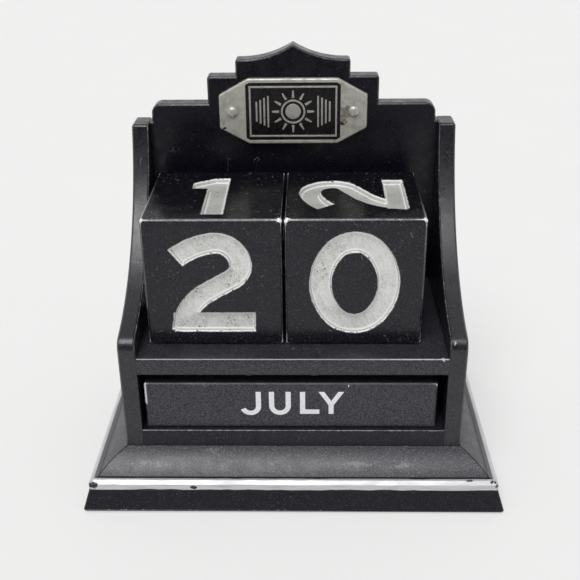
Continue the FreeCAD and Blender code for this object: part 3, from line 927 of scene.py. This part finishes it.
@dataclass
class Stand:
    """The painted stand: base boards, box floor, shelf, cheeks and back panel."""

    bevel: float = 0.6
    mitre_line: float = 0.2

    def cheek(self, side: Side) -> None:
        """Paints a cheek, with a worn line along its inner front edge.

        Args:
            side: which cheek.
        """
        node = f"cheek_{side.name.lower()}"
        low, high = node_box(node)
        inner, outer = (high.x, low.x) if side is Side.LEFT else (low.x, high.x)
        shelf_top = node_box("tray_shelf")[1].z
        worn = Ridge(((Axis.X, inner + side.value * self.bevel / 2),), 0.2, 0.5,
                     ((Axis.Z, shelf_top + 2, shelf_top + 6),))
        outer_worn = Ridge(((Axis.X, outer - side.value * self.bevel / 2),), 0.14, 0.22, (), 0.5)
        rubbed = Blot((inner + side.value * 1.6, low.y + 1.4, shelf_top + 5.2), 0.65 if side is Side.RIGHT else 0.3)
        paint = BlackPaint(f"{node}_paint", colour=(0.0052, 0.0052, 0.0072), contrast=6.0, specular=0.6,
                           roughness=0.29, dust=0.14, top_dust_and_sheen=0.05, speckle=0.9, speck_gap=1.4, grain=0.05,
                           marks=(worn, outer_worn, rubbed))
        dress(node, paint.material())

    def shelf(self) -> None:
        """Paints the shelf, with a worn line along its upper front edge."""
        low, high = node_box("tray_shelf")
        edge = ((Axis.Y, low.y + 0.2), (Axis.Z, high.z - 0.1))
        marks = (Ridge(edge, 0.26, 0.75, (), 0.12), Ridge(edge, 0.32, 1.0, ((Axis.X, 8.0, 40.0),), 0.2),
                 Blot((48.8, low.y + 0.2, high.z - 0.2), 0.6))
        paint = BlackPaint("tray_shelf_paint", colour=(0.0125, 0.0125, 0.0160), contrast=4.8, dust=0.2, top_dust_and_sheen=0.1,
                           speckle=1.0, speck_gap=1.6, scratch=0.55, edge=0.9, marks=marks)
        dress("tray_shelf", paint.material())

    def floor(self) -> None:
        """Paints the board under the slot, with a worn line along the slot's lower edge."""
        low, high = node_box("box_floor")
        lip = Ridge(((Axis.Y, low.y + 0.15), (Axis.Z, high.z - 0.15)), 0.22, 0.5, (), 0.4)
        paint = BlackPaint("box_floor_paint", colour=(0.008, 0.008, 0.012), dust=0.15, specular=0.35, marks=(lip,))
        dress("box_floor", paint.material())

    def panel(self) -> None:
        """Paints the back panel in the darkest black of all, a painted shade on its front; its top gets heavy pale
        dust, partly a painted sheen.
        """
        low, high = node_box("back_panel")
        front = Ridge(((Axis.Y, low.y + self.bevel / 2),), 0.2, 0.35, ((Axis.Z, 100.0, 112.0),), 0.5)
        rear = Ridge(((Axis.Y, high.y - self.bevel / 2),), 0.15, 0.3, (), 0.5)
        # The panel's black is painted darker than the other boards' as a painted shade, and its top's heavy dust is
        # partly a painted sheen.
        paint = BlackPaint("back_panel_paint", colour=(0.0032, 0.003, 0.0062), specular=0.4, roughness=0.28,
                           dust=0.06, top_dust_and_sheen=0.9, speckle=1.0, speck_gap=1.2, marks=(front, rear))
        dress("back_panel", paint.material())

    def base(self) -> None:
        """Paints the three base boards, the felt and the screws."""
        low, high = node_box("bead_board")
        moulding = node_box("moulded_board")[1]
        chips = (Blot((low.x + 1.6, low.y, 9.7), 1.5, (1.15, 1, 0.85), 0.35),
                 Blot((-32.8, low.y, 9.0), 1.0, (1.25, 1, 0.75), 0.3),
                 Blot((58.4, low.y + 1.2, high.z), 0.5, (2.4, 1, 0.5)),
                 Blot((high.x - 2.2, low.y + 0.6, high.z - 0.2), 0.8, (1.2, 1, 0.7), 0.9),
                 Blot((high.x - 0.8, low.y + 0.2, 9.6), 0.6, (0.8, 1, 1.2), 0.9))
        silver = SilverPaint("bead_silver", low.z, high.z, moulding.x, moulding.y, chips)
        dress("bead_board", silver.material())
        rubbed = Ridge(((Axis.Y, low.y - 2.0), (Axis.Z, 1.1)), 0.5, 0.5, ((Axis.X, 30.0, -20.0),), 0.52)
        paint = BlackPaint("plinth_paint", colour=(0.006, 0.006, 0.009), specular=0.3, dust=0.14,
                           roughness=0.34, edge=0.4, marks=(rubbed,))
        dress("plinth_board", paint.material())
        self.moulding()
        felt = PlainCoat("felt_green_black", (0.012, 0.016, 0.013), (0.030, 0.036, 0.030), 0.5, 0.9,
                         bump=0.15, edge=0.3, sheen=0.4)
        dress("felt_pad", felt.material())
        zinc = PlainCoat("screw_zinc", (0.55, 0.55, 0.56), (0.40, 0.40, 0.42), 1.5, 0.35, metallic=0.9)
        dress("base_screws", zinc.material())

    def moulding(self) -> None:
        """Paints the moulded board: a lighter black with mottled dust on its slope, partly a painted sheen, and a fine
        dark joint at each mitre.
        """
        foot = node_box("moulded_board")[1]
        smears = (Blot((36.5, -40.0, 14.0), 1.3, (2.2, 1, 0.5), 0.9), Blot((-27, -35.5, 17.2), 0.8, (3, 1, 1)),
                  Blot((22.0, -39.5, 14.2), 1.1, (4.5, 1, 0.5), 0.9),
                  Blot((-48.0, -40.0, 14.5), 1.2, (5, 1, 0.6), 0.9))
        # The moulding's black is painted lighter than the other boards' as a painted sheen on its slope.
        paint = BlackPaint("moulding_paint", colour=(0.0265, 0.0265, 0.0325), roughness=0.35, dust=0.4,
                           top_dust_and_sheen=0.4, speckle=0.9, speck_gap=1.3, grain=0.03, patchiness=0.6, edge=0.2,
                           smears=smears)
        graph = Graph(paint.name)
        inputs = paint.coat(graph)
        offset = graph.less(graph.off_middle(Axis.X, foot.x), graph.off_middle(Axis.Y, foot.y))
        joint = graph.ramp(graph.math("ABSOLUTE", offset), self.mitre_line * 1.5, self.mitre_line)
        inputs["Base_Color"] = graph.mix(joint, inputs["Base_Color"], (0.002, 0.002, 0.002))
        inputs["Roughness"] = graph.any_of(inputs["Roughness"], joint)
        dress("moulded_board", graph.surface(**inputs))

    def build(self) -> None:
        """Dresses every board of the stand."""
        for side in Side:
            self.cheek(side)
        self.shelf()
        self.floor()
        self.panel()
        self.base()


@dataclass
class Plate:
    """The cast plate on the crest: metal, enamel, relief of a rayed sun between reeds, and two rivets."""

    frame_inset: float = 1.2
    frame_line: float = 0.6
    boss_radius: float = 2.7
    ring_inner: float = 3.6
    ring_outer: float = 4.25
    ray_inner: float = 4.9
    ray_outer: float = 7.4
    ray_foot: float = 0.95
    ray_tip: float = 0.45
    rays: int = 12
    reed_start: float = 8.7
    reed_pitch: float = 1.35
    reed_width: float = 0.6
    reed_height: float = 11.0
    reed_taper: float = 0.12
    reeds: int = 4
    sink: float = 0.15
    shoulder: float = 15.5
    crumbs: int = 90
    crumb_seed: int = 7

    def __post_init__(self) -> None:
        """Takes the plate's place from the frame."""
        self.low, self.high = node_box("badge_plate")
        self.field_low, self.field_high = node_box("badge_enamel")
        self.middle = (self.low + self.high) / 2
        self.face = self.high.y - self.low.y
        self.floor = self.high.y - self.field_low.y
        self.foot = self.floor - self.sink

    def placed(self, x: float, y: float, height: float) -> Vector:
        """A point on the plate: across, up, and out from the panel."""
        return Vector((self.middle.x + x, self.high.y - height, self.middle.z + y))

    def sun(self, metal: bpy.types.Material) -> None:
        """Makes the boss, the ring and the rays.

        Args:
            metal: their finish.
        """
        shape = Shape(self.placed)
        profile = [(self.boss_radius, self.foot), (self.boss_radius, self.floor)]
        profile += dome_curve(self.boss_radius, self.floor, self.face, 6)
        shape.dome((0, 0), profile, 48)
        angles = [2 * math.pi * k / 72 for k in range(72)]
        inner, outer = [[(radius * math.cos(a), radius * math.sin(a)) for a in angles]
                        for radius in (self.ring_inner, self.ring_outer)]
        shape.band(inner, outer, self.foot, self.face, closed=True)
        for index in range(self.rays):
            turn = Matrix.Rotation(2 * math.pi * index / self.rays, 2)
            corners = [(self.ray_inner, -self.ray_foot / 2), (self.ray_outer, -self.ray_tip / 2),
                       (self.ray_outer, self.ray_tip / 2), (self.ray_inner, self.ray_foot / 2)]
            shape.plate([tuple(turn @ Vector(corner)) for corner in corners], self.foot, self.face)
        shape.piece("plate_sun", metal, Body.STAND)

    def border(self, metal: bpy.types.Material) -> None:
        """Makes the line that runs round the field and the reeds at its two ends.

        Args:
            metal: their finish.
        """
        x = (self.field_high.x - self.field_low.x) / 2 - self.frame_inset
        y = (self.field_high.z - self.field_low.z) / 2 - self.frame_inset
        corners = [(1, 1), (-1, 1), (-1, -1), (1, -1)]
        outer = [(i * x, j * y) for i, j in corners]
        inner = [(i * (x - self.frame_line), j * (y - self.frame_line)) for i, j in corners]
        line = Shape(self.placed)
        line.band(inner, outer, self.foot, self.face, closed=True)
        line.piece("plate_frame_line", metal, Body.STAND)
        reeds = Shape(self.placed)
        for side in Side:
            for index in range(self.reeds):
                centre = side.value * (self.reed_start + index * self.reed_pitch)
                half = self.reed_width / 2
                tall = self.reed_height / 2 * (1 - self.reed_taper * index)
                reeds.plate([(centre - half, -tall), (centre + half, -tall), (centre + half, tall),
                             (centre - half, tall)], self.foot, self.face)
        reeds.piece("plate_reeds", metal, Body.STAND)

    def rivet(self, side: Side) -> None:
        """Makes a domed rivet in place of the plain one.

        Args:
            side: which rivet.
        """
        node = f"badge_rivet_{side.name.lower()}"
        low, high = node_box(node)
        radius = (high.x - low.x) / 2
        head = self.low.y - low.y
        centre = ((low.x + high.x) / 2 - self.middle.x, (low.z + high.z) / 2 - self.middle.z)
        shape = Shape(self.placed)
        shank = radius * 0.5
        under = self.face - 0.05
        rim = self.face + head * 0.08
        profile = [(shank, self.high.y - high.y), (shank, under), (radius * 0.97, under), (radius, rim)]
        shape.dome(centre, profile + dome_curve(radius, rim, self.face + head, 8), 40)
        metal = CastMetal(f"{node}_metal", (0.62, 0.61, 0.58), (0.40, 0.39, 0.35), roughness=0.33)
        made = shape.piece(node.replace("badge", "domed"), metal.material(), Body.STAND, True)
        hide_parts(node)

    def crumb_line(self) -> list[tuple[Point, Point]]:
        """The stretches of the plate's upper edge where crumbs have gathered.

        Returns:
            The two ends of each stretch.
        """
        x, y = (self.high.x - self.low.x) / 2, (self.high.z - self.low.z) / 2
        corners = [(-x, y / 2), (-self.shoulder, y), (self.shoulder, y), (x, y / 2)]
        return list(zip(corners, corners[1:]))

    def litter(self) -> None:
        """Scatters pale crumbs of old glue and lint along the plate's upper edge."""
        chance = random.Random(self.crumb_seed)
        stretches = self.crumb_line()
        shape = Shape(self.placed)
        for _ in range(self.crumbs):
            start, end = chance.choices(stretches, weights=(2, 3, 2))[0]
            share = chance.random()
            along = Vector(start).lerp(Vector(end), share)
            size = chance.uniform(0.07, 0.24)
            height = chance.uniform(0.2, self.face * 0.9)
            self.crumb(shape, (along.x, along.y + size * 0.35), height, size, chance)
        coat = PlainCoat("crumb_beige", (0.50, 0.47, 0.38), (0.33, 0.30, 0.24), 0.3, 0.85, edge=0.05)
        shape.piece("plate_crumbs", coat.material(), Body.STAND)

    def crumb(self, shape: Shape, where: Point, height: float, size: float, chance: random.Random) -> None:
        """Adds one ragged crumb.

        Args:
            shape: the mesh that takes it.
            where: its middle on the plate.
            height: how far out from the panel it sits.
            size: its rough radius.
            chance: the source of its raggedness.
        """
        spread = [size * chance.uniform(0.6, 1.2) for _ in range(6)]
        radii = [(spread[0] * 0.6, height - size * 0.6), (spread[1], height), (spread[2] * 0.7, height + size * 0.5)]
        shape.dome(where, radii + [(0, height + size * 0.8)], 5)

    def build(self) -> None:
        """Dresses the plate and makes all that stands on it."""
        dirt = (Blot((14.9, self.low.y, 113.9), 1.0, (0.8, 1, 1.4), 0.9),
                Blot((17.2, self.low.y, 112.2), 0.7, (1.2, 1, 0.8), 0.9),
                Blot((-24.0, self.low.y, 110.6), 0.5, (1.6, 1, 0.7), 0.9))
        rivet = node_box("badge_rivet_right")
        beside = (rivet[0].x - 0.6, self.low.y, (rivet[0].z + rivet[1].z) / 2)
        stains = (Blot(beside, 2.2, (0.85, 4, 1.5), 0.5),
                  Blot((beside[0] - 1.2, beside[1], beside[2] - 3.2), 1.3, (1, 4, 1.3), 0.7))
        dress("badge_plate", CastMetal("plate_metal_cast", dirt=dirt, stains=stains).material())
        enamel = PlainCoat("plate_enamel_black", (0.0045, 0.004, 0.0042), (0.011, 0.008, 0.008), 1.4, 0.3)
        dress("badge_enamel", enamel.material())
        bright = CastMetal("plate_relief_cast", (0.56, 0.55, 0.52), (0.36, 0.35, 0.31), roughness=0.4).material()
        self.sun(bright)
        self.border(bright)
        for side in Side:
            self.rivet(side)
        self.litter()


@dataclass
class DateCube:
    """A date cube: black with worn edges that carry a painted highlight along the upper front, and silver in its
    numerals.
    """

    node: str
    left_knock: float
    right_knock: float
    foot_knock: float = 0.45

    def build(self) -> None:
        """Paints the cube."""
        low, high = node_box(self.node)
        knocks = (KnockedCorner((low.x, low.y, high.z), self.left_knock, 5.0),
                  KnockedCorner((high.x, low.y, high.z), self.right_knock, 5.0),
                  KnockedCorner((low.x, low.y, low.z), self.foot_knock, 3.0),
                  KnockedCorner((high.x, low.y, low.z), self.foot_knock, 3.0))
        paint = BlockPaint(f"{self.node}_paint", centre=tuple((low + high) / 2), half=tuple((high - low) / 2),
                           colour=(0.0037, 0.0037, 0.0060), contrast=5.4, top_painted_shade=0.99, specular=0.38,
                           roughness=0.2, sunk=True, edge=0.55, dust=0.2, top_dust_and_sheen=0.1, speckle=1.0, speck_gap=1.0,
                           scratch=0.9, worn_colour=(0.92, 0.92, 0.94), marks=knocks)
        dress(self.node, paint.material())


# Letters of the month names, in shares of the cap height. A stroke is its middle line: start x and y, heading
# in degrees, then stretches of length and turn. A plate is the corners of a straight-sided stroke.
STROKE_SHARE = 0.2
HALF_SHARE = STROKE_SHARE / 2
TOP_SHARE = 1 - HALF_SHARE


@dataclass(frozen=True)
class Letter:
    """One letter's width, strokes and plates, in shares of the cap height."""

    width_share: float
    stroke_shares: tuple = ()
    plate_shares: tuple = ()


def stem(x_share: float) -> tuple:
    """An upright stroke over the whole height, with its left side at x."""
    return ((x_share, 0), (x_share + STROKE_SHARE, 0), (x_share + STROKE_SHARE, 1), (x_share, 1))


def bar(width_share: float, low_share: float, high_share: float, start_share: float = 0.0) -> tuple:
    """A level stroke from its start to a width."""
    return ((start_share, low_share), (width_share, low_share), (width_share, high_share), (start_share, high_share))


LETTERS: dict[str, Letter] = {
    "A": Letter(0.96, (), (((0, 0), (0.225, 0), (0.59, 1), (0.37, 1)), ((0.96, 0), (0.735, 0), (0.37, 1), (0.59, 1)),
                           bar(0.76, 0.2, 0.38, 0.2))),
    "B": Letter(0.76, ((HALF_SHARE, TOP_SHARE, 0, ((0.31, 0), (0.5812, -180), (0.31, 0))),
                       (HALF_SHARE, 0.53, 0, ((0.345, 0), (0.6754, -180), (0.345, 0)))), (stem(0),)),
    "C": Letter(0.9, ((0.806, 0.757, 130, ((1.955, 280),)),)),
    "D": Letter(0.86, ((HALF_SHARE, TOP_SHARE, 0, ((0.26, 0), (1.2566, -180), (0.26, 0))),), (stem(0),)),
    "E": Letter(0.66, (), (stem(0), bar(0.66, 0.8, 1), bar(0.6, 0.41, 0.59), bar(0.66, 0, 0.2))),
    "F": Letter(0.62, (), (stem(0), bar(0.62, 0.8, 1), bar(0.56, 0.39, 0.57))),
    "G": Letter(0.98, ((0.806, 0.757, 130, ((2.234, 320),)),), (bar(0.98, 0.4, 0.58, 0.54),)),
    "H": Letter(0.84, (), (stem(0), stem(0.64), bar(0.8, 0.41, 0.59))),
    "I": Letter(STROKE_SHARE, (), (stem(0),)),
    "J": Letter(0.752, ((0.655, 1.0, -90, ((0.655, 0), (0.845, -158))),)),
    "L": Letter(0.746, (), (stem(0), bar(0.746, 0, 0.2))),
    "M": Letter(1.06, (), (stem(0), stem(0.86), ((0, 1), (0.22, 1), (0.53, 0.5), (0.53, 0.18)),
                           ((1.06, 1), (0.84, 1), (0.53, 0.5), (0.53, 0.18)))),
    "N": Letter(0.86, (), (stem(0), stem(0.66), ((0, 1), (0.22, 1), (0.86, 0), (0.64, 0)))),
    "O": Letter(1.0, ((0.9, 0.5, 90, ((2.5133, 360),)),)),
    "P": Letter(0.74, ((HALF_SHARE, TOP_SHARE, 0, ((0.33, 0), (0.6597, -180), (0.33, 0))),), (stem(0),)),
    "R": Letter(0.78, ((HALF_SHARE, TOP_SHARE, 0, ((0.33, 0), (0.6283, -180), (0.33, 0))),),
                (stem(0), ((0.32, 0.44), (0.54, 0.44), (0.79, 0), (0.56, 0)))),
    "S": Letter(0.72, ((0.541, 0.7845, 115, ((0.8552, 245), (0.8552, -245))),)),
    "T": Letter(0.76, (), (stem(0.28), bar(0.76, 0.8, 1))),
    "U": Letter(0.836, ((HALF_SHARE, 1.0, -90, ((0.63, 0), (1.003, 180), (0.63, 0))),)),
    "V": Letter(0.94, (), (((0, 1), (0.225, 1), (0.58, 0), (0.36, 0)), ((0.94, 1), (0.715, 1), (0.36, 0), (0.58, 0)))),
    "Y": Letter(0.98, (), (((0.39, 0), (0.585, 0), (0.585, 0.42), (0.39, 0.42)),
                           ((0, 1), (0.22, 1), (0.488, 0.585), (0.488, 0.4), (0.39, 0.4)),
                           ((0.98, 1), (0.76, 1), (0.488, 0.585), (0.488, 0.4), (0.585, 0.4)))),
}
GAP_SHARE = 0.355
CLOSER_SHARES = {"JU": 0.045, "LY": 0.39, "AY": 0.22, "RY": 0.14, "TO": 0.08}


def stroke_sides(stroke: tuple, half_width: float) -> tuple[list[Point], list[Point]]:
    """The points along both sides of a stroke, in shares.

    Args:
        stroke: start, heading and stretches.
        half_width: half the stroke's width.

    Returns:
        The left side and the right side.
    """
    x, y, heading, stretches = stroke
    way = math.radians(heading)
    left, right = [], []

    def mark() -> None:
        """Notes both sides at the present place."""
        across = (-math.sin(way) * half_width, math.cos(way) * half_width)
        left.append((x + across[0], y + across[1]))
        right.append((x - across[0], y - across[1]))

    mark()
    for length, turn in stretches:
        steps = max(1, math.ceil(abs(turn) / 9))
        for _ in range(steps):
            bend = math.radians(turn) / steps
            way += bend / 2
            x += length / steps * math.cos(way)
            y += length / steps * math.sin(way)
            way += bend / 2
            mark()
    return left, right


@dataclass
class MonthBar:
    """A month bar with a month's name printed on each of its four long faces, front face first."""

    node: str
    body: Body
    months: tuple[str, str, str, str]
    cap_height: float = 8.65
    print_height: float = 0.035
    sink: float = 0.15
    layer: float = 0.003
    word_shift: float = 0.7
    rise: float = 1.1

    def __post_init__(self) -> None:
        """Takes the bar's place from the frame."""
        self.low, self.high = node_box(self.node)
        self.middle = (self.low + self.high) / 2
        self.half_side = (self.high.z - self.low.z) / 2

    def word_width(self, word: str) -> float:
        """How wide a word is, in shares of the cap height."""
        width = sum(LETTERS[letter].width_share for letter in word) + GAP_SHARE * (len(word) - 1)
        return width - sum(CLOSER_SHARES.get(a + b, 0.0) for a, b in zip(word, word[1:]))

    def word(self, name: str, quarter: int, ink: bpy.types.Material) -> None:
        """Prints a month's name on one face.

        Args:
            name: the month.
            quarter: how many quarter turns the face lies from the front.
            ink: the print's finish.
        """
        turn = Matrix.Rotation(-math.pi / 2 * quarter, 3, "X")

        def placed(x: float, y: float, height: float) -> Vector:
            """A point of the face: across, up and out."""
            local = Vector((x + self.word_shift, -self.half_side - height, y + self.rise))
            return self.middle + turn @ local

        shape = Shape(placed)
        pen = -self.word_width(name) / 2
        for index, letter in enumerate(name):
            drawn = LETTERS[letter]
            level = self.print_height
            for plate in drawn.plate_shares:
                shape.plate([self.sized(pen, point) for point in plate], -self.sink, level)
                level += self.layer
            for stroke in drawn.stroke_shares:
                sides = stroke_sides(stroke, HALF_SHARE)
                left, right = [[self.sized(pen, point) for point in side] for side in sides]
                shape.band(left, right, -self.sink, level)
                level += self.layer
            pen += drawn.width_share + GAP_SHARE - CLOSER_SHARES.get(name[index:index + 2], 0.0)
        shape.piece(f"{self.node}_{name.lower()}", ink, self.body)

    def sized(self, pen: float, point: Point) -> Point:
        """A letter's point in millimetres from the middle of the face."""
        return ((pen + point[0]) * self.cap_height, (point[1] - 0.5) * self.cap_height)

    def build(self, ink: bpy.types.Material) -> None:
        """Paints the bar and prints its months.

        Args:
            ink: the print's finish.
        """
        left = Ridge(((Axis.X, self.low.x + 0.3), (Axis.Y, self.low.y + 0.2)), 0.65, 1.0,
                     ((Axis.Z, self.middle.z, self.middle.z + 1.5),), 0.1)
        corner = Blot((self.high.x - 0.2, self.low.y, self.high.z - 0.6), 0.5, (0.7, 1, 1.2), 0.6)
        nick = Blot((18.5, self.low.y, self.high.z - 0.9), 0.35, (0.7, 1, 1.3), 0.6)
        paint = BlockPaint(f"{self.node}_paint", centre=tuple(self.middle), half=tuple((self.high - self.low) / 2),
                           colour=(0.0205, 0.0205, 0.0265), bevel=0.5, line=0.14, line_strength=0.15,
                           corner_reach=3.0, roughness=0.4, dust=0.14, speckle=1.2, speck_gap=1.6, scratch=0.55,
                           worn_colour=(0.92, 0.92, 0.94), marks=(left, corner, nick))
        dress(self.node, paint.material())
        for quarter, month in enumerate(self.months):
            self.word(month, quarter, ink)


@dataclass
class Lint:
    """Two short threads of lint: one on the panel, and one in the air before the left cheek's curved front edge."""

    panel_route: tuple[Place, ...] = ((-14.6, -0.05, 97.3), (-13.9, -0.2, 98.5), (-12.9, -0.25, 99.3),
                                      (-12.1, -0.1, 98.6), (-12.9, -0.05, 98.0))
    cheek_route: tuple[Place, ...] = ((0.05, 2.0, 105.2), (0.25, 3.4, 106.3), (0.2, 4.9, 106.6), (0.05, 6.0, 106.0))
    radius: float = 0.07
    sides: int = 5

    def build(self) -> None:
        """Makes each thread as a thin closed tube, beside the plane of its board's face."""
        fibre = PlainCoat("lint_fibre", (0.30, 0.30, 0.31), (0.22, 0.22, 0.23), 0.4, 0.8, edge=0.03).material()
        panel = Vector((0, node_box("back_panel")[0].y, 0))
        cheek = Vector((node_box("cheek_left")[1].x, 0, 0))
        for name, face, route in (("lint_panel", panel, self.panel_route), ("lint_cheek", cheek, self.cheek_route)):
            shape = Shape(as_given)
            shape.tube([Vector(point) + face for point in route], self.radius, self.sides)
            shape.piece(name, fibre, Body.STAND, True)


@dataclass
class Studio:
    """A pale floor, a wide soft light above the front, a pale room and a dark end to it behind the viewer."""

    floor_size: float = 6000.0
    floor_colour: Colour = (0.87, 0.87, 0.865)
    floor_shown: float = 0.92
    floor_share: float = 0.45
    sun_way: Place = (-0.16, -0.47, 0.87)
    sun_angle: float = 34.0
    sun_strength: float = 1.75
    room_light: float = 0.36
    backdrop_light: float = 0.6
    ceiling_light: float = 0.25
    shown_light: float = 0.84
    dark_place: float = -345.0
    dark_height: float = 240.0
    dark_width: float = 1200.0

    def floor(self) -> None:
        """Lays the floor."""
        half = self.floor_size / 2
        laid = self.sheet("floor", [(-half, -half, 0), (half, -half, 0), (half, half, 0), (-half, half, 0)])
        graph = Graph("floor_paper")
        cloud = graph.noise(60.0, detail=3, seed=61)
        colour = graph.mix(graph.ramp(cloud, 0.3, 0.7), self.floor_colour, tinted(self.floor_colour, 0.985))
        finish = graph.surface(Base_Color=colour, Roughness=0.75, Specular_IOR_Level=0.2)
        surface = graph.tree.nodes["Material Output"].inputs["Surface"]
        glow = graph.fed(graph.add("ShaderNodeEmission"), (1, 1, 0.995), self.floor_shown)[0]
        seen = graph.all_of(graph.add("ShaderNodeLightPath").outputs["Is Camera Ray"], self.floor_share)
        mixed = graph.fed(graph.add("ShaderNodeMixShader"), seen, surface.links[0].from_socket, glow)[0]
        graph.feed(surface, mixed)
        laid.data.materials.append(finish)

    def sheet(self, name: str, corners: Sequence[Sequence[float]]) -> bpy.types.Object:
        """Puts up one flat sheet of the studio.

        Args:
            name: the sheet's name.
            corners: its four corners.

        Returns:
            The sheet.
        """
        data = bpy.data.meshes.new(name)
        data.from_pydata([Vector(corner) * MM for corner in corners], [], [(0, 1, 2, 3)])
        made = bpy.data.objects.new(name, data)
        bpy.context.scene.collection.objects.link(made)
        return made

    def dark_end(self) -> None:
        """Puts a dark sheet behind the viewer that shows only in reflections."""
        half = self.dark_width / 2
        y, top = self.dark_place, self.dark_height
        made = self.sheet("dark_end", [(-half, y, 0), (half, y, 0), (half, y, top), (-half, y, top)])
        made.data.materials.append(Graph("dark_room").surface(Base_Color=(0.02, 0.02, 0.02), Roughness=0.9))
        made.visible_camera = made.visible_diffuse = made.visible_shadow = False

    def sun(self) -> None:
        """Hangs the wide soft light."""
        light = bpy.data.lights.new("soft_light", "SUN")
        light.energy = self.sun_strength
        light.angle = math.radians(self.sun_angle)
        hung = bpy.data.objects.new("soft_light", light)
        hung.location = Vector(self.sun_way)
        hung.rotation_euler = Vector(self.sun_way).to_track_quat("Z", "Y").to_euler()
        bpy.context.scene.collection.objects.link(hung)

    def world(self) -> None:
        """Sets the room's light, brightest low at the back, and the pale tone that is seen past the floor."""
        world = bpy.data.worlds.new("pale_room")
        bpy.context.scene.world = world
        world.use_nodes = True
        nodes = Nodes(world.node_tree)
        _, back, up = nodes.split(nodes.add("ShaderNodeTexCoord").outputs["Generated"])
        backdrop = nodes.all_of(nodes.ramp(back, 0.1, 0.7), nodes.ramp(up, 0.5, 0.3))
        level = nodes.math("MULTIPLY_ADD", backdrop, self.backdrop_light, self.room_light)
        level = nodes.math("ADD", level, nodes.ramp(up, 0.6, 0.95, 0.0, self.ceiling_light))
        path = nodes.add("ShaderNodeLightPath").outputs
        seen = nodes.any_of(path["Is Camera Ray"], path["Is Transmission Ray"])
        mixed = nodes.add("ShaderNodeMix")
        for socket, value in ((mixed.inputs[0], seen), (mixed.inputs[2], level), (mixed.inputs[3], self.shown_light)):
            nodes.feed(socket, value)
        light = nodes.fed(nodes.add("ShaderNodeBackground"), (1, 1, 1), mixed.outputs[0])
        nodes.fed(nodes.add("ShaderNodeOutputWorld"), light[0])

    def build(self) -> None:
        """Sets up the studio."""
        self.floor()
        self.dark_end()
        self.sun()
        self.world()
        bpy.context.scene.view_settings.view_transform = "Standard"
        log.info("set the studio")


@dataclass
class Viewpoint:
    """The camera, where the photograph was taken from."""

    place: Place = (5.73, -292.9, 204.9)
    yaw: float = 1.357
    pitch: float = -26.377
    roll: float = 0.667
    lens: float = 57.81
    sensor: float = 36.0
    nearest: float = 10.0

    def build(self) -> None:
        """Makes the camera and gives it to the scene."""
        data = bpy.data.cameras.new("viewpoint")
        data.lens = self.lens
        data.sensor_width = self.sensor
        data.clip_start = self.nearest * MM
        camera = bpy.data.objects.new("viewpoint", data)
        turn = (Matrix.Rotation(math.radians(self.yaw), 4, "Z") @ Matrix.Rotation(math.radians(self.pitch), 4, "X")
                @ Matrix.Rotation(math.radians(self.roll), 4, "Y") @ Matrix.Rotation(math.pi / 2, 4, "X"))
        camera.matrix_world = Matrix.Translation(Vector(self.place) * MM) @ turn
        bpy.context.scene.collection.objects.link(camera)
        bpy.context.scene.camera = camera
        log.info("set the camera")


def main() -> None:
    """Builds the dressed calendar and its studio."""
    logging.basicConfig(level=logging.INFO, format="%(name)s: %(message)s")
    Viewpoint().build()
    Studio().build()
    Stand().build()
    Plate().build()
    DateCube("date_cube_left", 0.9, 1.15).build()
    DateCube("date_cube_right", 1.35, 1.05).build()
    ink = PlainCoat("month_print", (0.90, 0.90, 0.92), (0.78, 0.78, 0.80), 0.8, 0.5, edge=0.05).material()
    MonthBar("month_bar_front", Body.FRONT_BAR, ("JULY", "AUGUST", "MAY", "JUNE")).build(ink)
    MonthBar("month_bar_middle", Body.MIDDLE_BAR, ("SEPTEMBER", "OCTOBER", "NOVEMBER", "DECEMBER")).build(ink)
    MonthBar("month_bar_rear", Body.REAR_BAR, ("JANUARY", "FEBRUARY", "MARCH", "APRIL")).build(ink)
    Lint().build()


if __name__ == "__main__":
    main()
